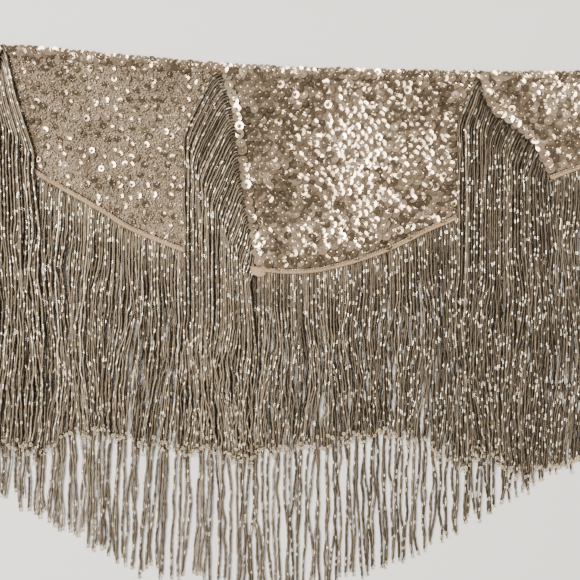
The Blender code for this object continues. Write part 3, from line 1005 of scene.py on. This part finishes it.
def edge_row(name):
    """The row of larger sequins that finishes a side edge."""
    line = offset(side_lines[name], 1.9 if name == "left_outer" else -1.9)
    where = np.arange(3.0, distances(line)[-1] - 1.0, EDGE_SEQUIN_PITCH)
    points = at(line, where) + random.uniform(-0.4, 0.4, (len(where), 2))
    height = cloth_top(name, points) + 1.6 + random.uniform(-0.1, 0.25, len(points))
    lean = chance_lean(len(points), 0.07)
    lean += mirror_slopes(points) + CRESCENT_SIDE
    normals = np.column_stack([lean, np.ones(len(points))])
    tints = uneven_tints(len(points), 0.45, 0.18)
    scales = random.uniform(1.02, 1.12, len(points))
    sequins(f"{name}_edge_sequins", np.column_stack([points, height]), normals, tints, scales)


# Tapes

TAPE_PROFILE = (
    (0.0, 0.0),
    (0.0, 0.5),
    (0.08, 0.88),
    (0.24, 1.0),
    (0.4, 0.9),
    (0.47, 0.62),
    (0.55, 0.9),
    (0.74, 1.0),
    (0.92, 0.86),
    (1.0, 0.5),
    (1.0, 0.0),
)
CORD_TWIST = 3.1


def level_base(height):
    """A tape's under side at one height."""

    def low(points):
        return np.full(len(points), height)

    return low


def panel_base(name, height):
    """A tape's under side, which rises with its panel."""

    def low(points):
        return height + lifts[name](points)

    return low


def tape(name, line, wide, low, thick, node=None, material=tape_finish):
    """A soft band worked as two twisted cords, its outer side on the line."""
    shares = np.array(TAPE_PROFILE)
    normals = outward(line)
    inner = line - normals * wide
    base = low(line)
    twist = 2 * np.pi * (distances(line)[:, None] / CORD_TWIST + 1.4 * shares[None, :, 0])
    across = inner[:, None] + (line - inner)[:, None] * shares[None, :, :1]
    height = base[:, None] + (thick + 0.4 * np.sin(twist)) * shares[None, :, 1]
    points = np.concatenate([across, height[..., None]], axis=2).reshape(-1, 3)
    faces = tube_faces(len(line), len(shares))
    piece = mesh_piece(name, points, faces, material)
    if node:
        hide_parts(node)


def hem_edging(name, line, low):
    """Small beads sewn along the inner side of a hem tape, and the stitches over it."""
    inner = offset(line, -BINDING_WIDE + 0.5)
    where = np.arange(0.8, distances(inner)[-1] - 0.5, HEM_BEAD_PITCH)
    points = at(inner, where) + random.uniform(-0.12, 0.12, (len(where), 2))
    height = low(points) + BINDING_THICK + 0.25
    seed_row(f"{name}_hem_beads", points, height, 0.4, (0.7, 0.9), 0.6)
    outer = offset(line, -1.2)
    where = np.arange(1.0, distances(outer)[-1] - 0.6, STITCH_PITCH)
    points, normal = root_points(outer, where)
    along = np.stack([-normal[:, 1], normal[:, 0]], axis=1)
    slant = normal * 0.75 + along * 0.5
    slant /= np.linalg.norm(slant, axis=1)[:, None]
    level = np.zeros(len(slant))
    rotations = turned(np.column_stack([slant, level]), level)
    spots = np.column_stack([points, low(points) + BINDING_THICK + 0.02])
    template, faces = ring_template(SEED_RINGS, SEED_SIDES)
    made, quads = copies(template * STITCH_FORM, faces, spots, rotations, np.ones(len(spots)))
    tints = np.repeat(uneven_tints(len(spots), 0.75, 0.15), len(faces))
    mesh_piece(f"{name}_hem_stitches", made, [quads], knot_finish, tints)


def make_hem(name, columns):
    line = smooth_line(HEMS[name], columns)
    low = panel_base(name, BINDING_LOW)
    tape(f"{name}_hem_tape", line, BINDING_WIDE, low, BINDING_THICK, f"{name}_binding")
    hem_edging(name, line, low)
    strip = offset(smooth_line(HEMS[name], columns // 4), -STRIP_INSET)
    tape(f"{name}_fringe_tape", strip, STRIP_WIDE, panel_base(name, PANEL_LOW), STRIP_THICK)


def corner_tab():
    """The end of the right front binding, turned under at the corner of the overlap."""
    u, v = np.meshgrid(np.linspace(0.0, 1.0, 12), np.linspace(0.0, 1.0, 9), indexing="ij")
    x = -12.2 + 10.0 * u + 1.6 * (v - 0.5) + 0.3 * np.sin(7.0 * v)
    y = 36.6 - 7.6 * v * (1.0 - 0.35 * (2 * u - 1) ** 2) + 0.4 * np.sin(5.0 * u)
    low = BINDING_LOW + PANEL_LIFT - 0.4 + 0.5 * np.sin(np.pi * u) * (1 - v)
    low = low + 0.25 * np.sin(9.0 * u + 4.0 * v)
    points, faces = closed_sheet(np.stack([x, y], axis=2), low, 1.2)
    mesh_piece("right_front_binding_end", points, faces, tape_finish)


def make_waist():
    x = np.linspace(-END_X, END_X, 240)
    edge = height_at(WAIST_EDGE, x)
    top = np.stack([x, edge - WAIST_WIDE], axis=1)
    low = level_base(PANEL_LOW)
    tape("waist_tape", top, -WAIST_WIDE, low, WAIST_THICK, "waist_binding", panel_finish)
    line = np.stack([x, edge - 1.7], axis=1)
    for row, (shift, pitch) in enumerate(WAIST_BEAD_ROWS):
        where = np.arange(1.0, distances(line)[-1] - 1.0, pitch)
        points = at(line, where) + (0.0, shift) + random.uniform(-0.2, 0.2, (len(where), 2))
        height = np.full(len(where), PANEL_LOW + WAIST_THICK + 0.15)
        seed_row(f"waist_beads_{row}", points, height, 0.6, (0.55, 0.8), 0.5)


# Back


def make_back():
    """The hidden layers as one solid, with a groove round its edges between the layers."""
    shares = (
        (1.4, 0.0),
        (0.35, 0.08),
        (0.0, 0.22),
        (0.0, 0.4),
        (0.6, 0.48),
        (0.0, 0.56),
        (0.0, 0.8),
        (0.4, 0.94),
        (1.5, 1.0),
    )
    inner = HALF_WIDTH - FOLD_WIDE
    x_fold = (0.0, 0.5, 1.4, 2.4, FOLD_WIDE - 0.1)
    low_fold = (1.8, 0.6, 0.1, 0.0, 0.0)
    high_fold = (1.8, 0.6, 0.1, 0.0, 0.2)
    fold = zip(x_fold, low_fold, high_fold)
    stations = [(-HALF_WIDTH + x, a, FOLD_HIGH - b) for x, a, b in fold]
    stations += [(0.2 - inner, 0.0, BACK_THICK)]
    stations += [(x, 0.0, BACK_THICK) for x in np.linspace(4.0 - inner, inner - 4.0, 120)]
    stations += [(-x, low, high) for x, low, high in reversed(stations[:6])]
    points = []
    for x, low, high in stations:
        top, bottom = float(height_at(WAIST_EDGE, x)), float(height_at(BACK_EDGE, x))
        thick = high - low
        points += [(x, bottom + inset, low + thick * share) for inset, share in shares]
        points += [(x, top - inset, low + thick * share) for inset, share in reversed(shares)]
    faces = tube_faces(len(stations), 2 * len(shares))
    piece = mesh_piece("back_cloth", points, faces, lining_finish)
    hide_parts("back_layer")
    edge = offset(smooth_line(BACK_EDGE, 160), SEAM + 2.7)
    edge = edge[np.abs(edge[:, 0]) < HALF_WIDTH - 1.5]
    tape("back_fringe_tape", edge, 2.7, level_base(SEAM), STRIP_THICK)


def waist_sequins():
    """Two offset rows of sequins over the waist band."""
    row = np.arange(3.0 - END_X, END_X - 3.0, WAIST_SEQUIN_PITCH)
    x = np.concatenate([row, row + WAIST_SEQUIN_PITCH / 2])
    x += random.uniform(-0.5, 0.5, len(x))
    shift = np.repeat(WAIST_SEQUIN_ROWS, len(row))
    y = height_at(WAIST_EDGE, x) - shift + random.uniform(-0.4, 0.4, len(x))
    z = PANEL_LOW + WAIST_THICK + 0.45 + random.uniform(-0.1, 0.3, len(x))
    z += 0.6 * np.maximum(lifts["right_front"](np.stack([x, y], axis=1)) - PANEL_LIFT + 1.0, 0.0)
    lean = random.normal(0.0, 0.1, (len(x), 2)) + (0.0, 0.28)
    lean += mirror_slopes(np.stack([x, y], axis=1)) + CRESCENT_SIDE
    normals = np.column_stack([lean, np.ones(len(x))])
    scales = random.uniform(0.85, 1.0, len(x))
    tints = uneven_tints(len(x), 0.22)
    sequins("waist_sequins", np.column_stack([x, y, z]), normals, tints, scales)


def fold_sequins():
    """Sequins that go round the side folds."""
    rows = ((HALF_WIDTH - 1.9, FOLD_HIGH + 0.1, 0.35), (HALF_WIDTH - 0.1, 3.2, 3.0))
    centres, normals = [], []
    for sign in (-1.0, 1.0):
        top = float(height_at(WAIST_EDGE, sign * HALF_WIDTH)) - 3.0
        bottom = float(height_at(BACK_EDGE, sign * HALF_WIDTH)) + 3.0
        for x, z, lean in rows:
            y = np.arange(bottom, top, FOLD_SEQUIN_PITCH)
            for place in y + random.uniform(-0.4, 0.4, len(y)):
                centres.append((sign * x, place, z))
                normals.append((sign * lean, random.normal(0, 0.15), 1.0 + random.normal(0, 0.15)))
    centres, normals = np.array(centres), np.array(normals)
    tints, scales = uneven_tints(len(centres)), np.full(len(centres), 0.92)
    sequins("fold_sequins", centres, normals, tints, scales)


# Put together

PANEL_GRIDS = (
    ("left_outer", 24, 24),
    ("left_front", 90, 36),
    ("right_front", 90, 50),
    ("right_outer", 32, 30),
)
HEM_COLUMNS = (("left_outer", 24), ("left_front", 480), ("right_front", 420), ("right_outer", 66))

make_back()
make_waist()
for part, columns, rows in PANEL_GRIDS:
    dress_panel(part, columns, rows)
for part in SIDES:
    edge_row(part)
waist_sequins()
fold_sequins()
for part, columns in HEM_COLUMNS:
    make_hem(part, columns)
corner_tab()

fringes = {
    "left_outer_fringe": hem_paths("left_outer", 2.0, 3.0),
    "left_front_fringe": hem_paths("left_front", 2.0, 10.0),
    "right_front_fringe": hem_paths("right_front", 1.0, 8.0),
    "right_outer_fringe": hem_paths("right_outer", 1.0, 2.0),
    "left_outer_side_fringe": side_paths("left_outer", -222.0, -166.0, HEMS["left_front"]),
    "right_front_side_fringe": side_paths("right_front", -59.5, -12.5, HEMS["left_front"]),
    "right_outer_side_fringe": side_paths("right_outer", 136.0, 198.0, HEMS["right_front"]),
}
for node, paths in fringes.items():
    bead_strings(f"{node}_beads", paths, node)
tip_loops("front_tip_loops", [path for paths in fringes.values() for path in paths])

back = back_paths()
bead_strings("back_fringe_beads", back, "back_fringe")
end_seeds("back_tip_beads", back)

for part in SIDES:
    line, low = offset(towards_next(part), -STRIP_INSET), level_base(SIDE_STRIP_LOW)
    tape(f"{part}_side_fringe_tape", line, STRIP_WIDE, low, STRIP_THICK)


# Floor, lights and camera


def make_floor():
    half, level = 1.6, -0.0005
    mesh = bpy.data.meshes.new("floor")
    corners = [(x * half, y * half, level) for x, y in ((-1, -1), (1, -1), (1, 1), (-1, 1))]
    mesh.from_pydata(corners, [], [(0, 1, 2, 3)])
    mesh.materials.append(new_material("floor_plain", (0.80, 0.79, 0.77), 0.9)[0])
    floor = bpy.data.objects.new("floor", mesh)
    bpy.context.scene.collection.objects.link(floor)


def area_light(name, place, target, size, power, colour):
    data = bpy.data.lights.new(name, "AREA")
    data.shape = "DISK"
    data.size = size
    data.energy = power
    data.color = colour
    lamp = bpy.data.objects.new(name, data)
    lamp.location = place
    aim = Vector(target) - Vector(place)
    lamp.rotation_euler = aim.to_track_quat("-Z", "Y").to_euler()
    bpy.context.scene.collection.objects.link(lamp)


def make_lights():
    area_light("key", KEY_PLACE, (0.0, 0.03, 0.0), KEY_WIDE, 112.0, (1.0, 0.945, 0.87))
    area_light("low", (-0.35, -0.65, 2.0), (0.0, -0.1, 0.0), 0.5, 17.0, (1.0, 0.95, 0.89))
    area_light("fill", (0.9, 0.9, 1.3), (0.0, 0.0, 0.0), 1.0, 4.0, (1.0, 0.97, 0.93))
    world = bpy.data.worlds.new("studio")
    world.use_nodes = True
    world.node_tree.nodes["Background"].inputs["Color"].default_value = (1.0, 0.97, 0.92, 1.0)
    world.node_tree.nodes["Background"].inputs["Strength"].default_value = 0.32
    bpy.context.scene.world = world


def make_camera():
    data = bpy.data.cameras.new("camera")
    data.lens = LENS
    data.sensor_width = SENSOR
    data.clip_start = 0.01
    camera = bpy.data.objects.new("camera", data)
    distance = VIEW_WIDE * MM * LENS / SENSOR
    camera.location = (VIEW_MIDDLE[0] * MM, VIEW_MIDDLE[1] * MM, distance + 5.0 * MM)
    bpy.context.scene.collection.objects.link(camera)
    bpy.context.scene.camera = camera


make_floor()
make_lights()
make_camera()
